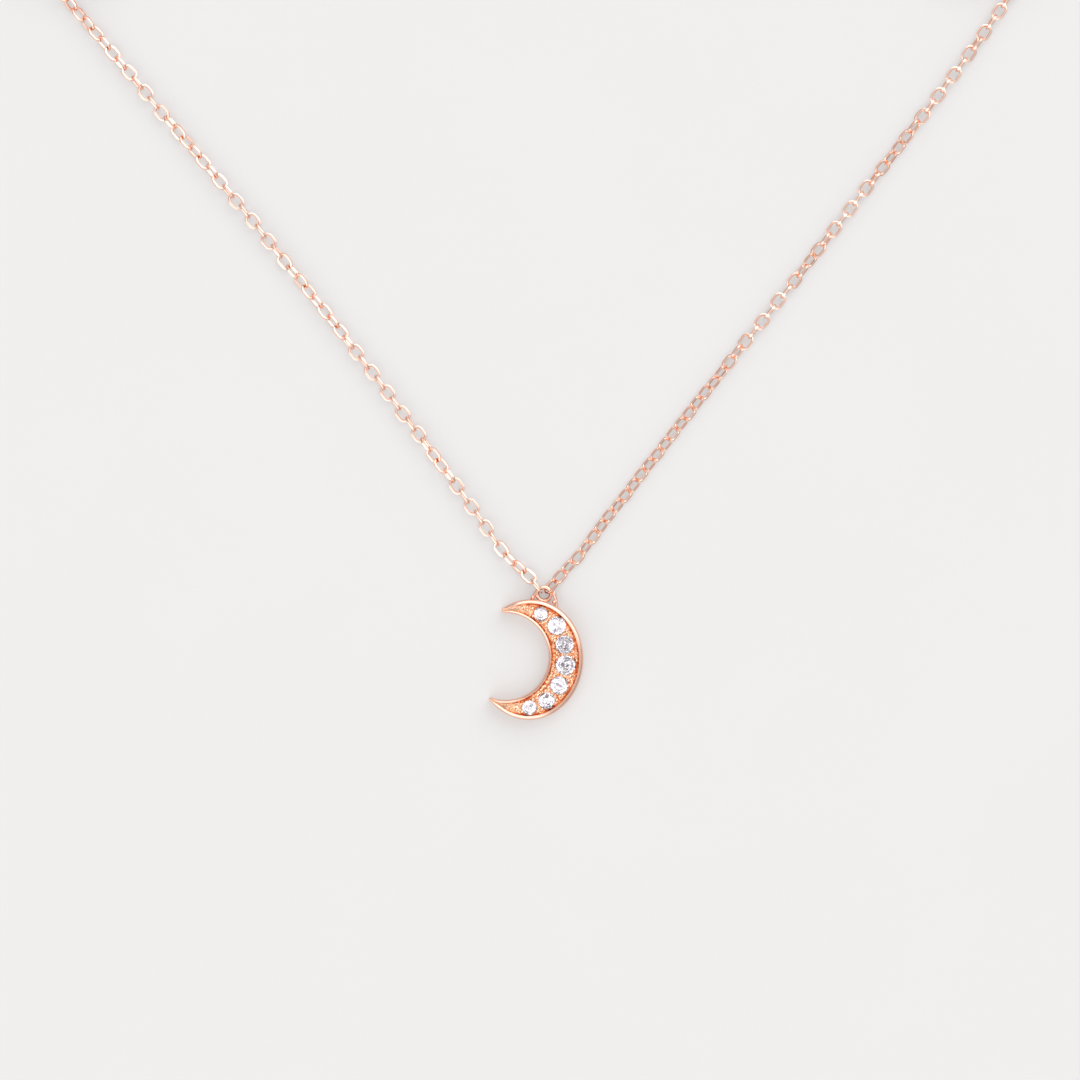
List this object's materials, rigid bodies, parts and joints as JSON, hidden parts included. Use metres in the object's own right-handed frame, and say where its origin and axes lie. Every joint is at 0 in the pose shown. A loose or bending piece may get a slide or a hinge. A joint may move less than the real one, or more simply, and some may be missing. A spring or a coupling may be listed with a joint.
{
  "type": "pendant necklace",
  "caption": "Crescent pendant set with round stones, hung from a fine cable chain with a spring-ring clasp.",
  "frame": {"origin": "centre of the pendant and its hanging ring, on the surface they lie on", "axes": "+Z out of the pendant's face, +Y up the pendant towards the chain, +X to the viewer's right"},
  "size_m": [0.0879, 0.0747, 0.0022],
  "materials": {
    "rose_gold": "polished rose gold, bright rims over a cut bed",
    "chain_gold": "polished rose gold links with flat diamond-cut faces",
    "clasp_gold": "polished rose gold",
    "stone": "clear, brilliant cut",
    "spring_steel": "drawn wire"
  },
  "bodies": {
    "pendant": {"moon_setting": "rose_gold", "stone_1": "stone", "stone_2": "stone", "stone_3": "stone", "stone_4": "stone", "stone_5": "stone", "stone_6": "stone", "stone_7": "stone", "grain_beads": "rose_gold", "hanging_ring": "rose_gold", "ring_shoulders": "rose_gold"},
    "left_arm": {"left_end_link": "chain_gold", "chain_left": "chain_gold", "chain_left_coil": "chain_gold", "chain_left_tail": "chain_gold", "left_tail_link": "chain_gold"},
    "right_arm": {"right_end_link": "chain_gold", "chain_right": "chain_gold", "chain_right_coil": "chain_gold", "chain_right_tail": "chain_gold", "right_tail_link": "chain_gold"},
    "clasp_link": {"clasp_jump_ring": "clasp_gold"},
    "clasp": {"clasp_tail_loop": "clasp_gold", "clasp_body": "clasp_gold", "clasp_spring": "spring_steel"},
    "clasp_bolt": {"clasp_tongue": "clasp_gold", "clasp_thumb_tab": "clasp_gold"},
    "catch": {"catch_ring": "clasp_gold"}
  },
  "joints": [
    {"name": "left_arm_swing", "type": "hinge", "parent": "pendant", "child": "left_arm", "pos_m": [0.0002, 0.00527, 0.00058], "axis": [0, 0, 1], "range_deg": [-20, 20]},
    {"name": "right_arm_swing", "type": "hinge", "parent": "pendant", "child": "right_arm", "pos_m": [0.00101, 0.0053, 0.00058], "axis": [0, 0, 1], "range_deg": [-20, 20]},
    {"name": "jump_ring_swing", "type": "hinge", "parent": "left_arm", "child": "clasp_link", "pos_m": [-0.02777, 0.06394, 0.00059], "axis": [0, 0, 1], "range_deg": [-35, 35]},
    {"name": "clasp_swing", "type": "hinge", "parent": "clasp_link", "child": "clasp", "pos_m": [-0.02612, 0.06299, 0.00059], "axis": [0, 0, 1], "range_deg": [-35, 35]},
    {"name": "clasp_trigger", "type": "hinge", "parent": "clasp", "child": "clasp_bolt", "pos_m": [-0.0231, 0.06125, 0.00047], "axis": [0, 0, 1], "range_deg": [0, 55], "stiffness_Nm_per_rad": 0.0012, "springref_deg": -17.19},
    {"name": "catch_ring_swing", "type": "hinge", "parent": "right_arm", "child": "catch", "pos_m": [0.02746, 0.06411, 0.00053], "axis": [0, 0, 1], "range_deg": [-40, 40]}
  ]
}
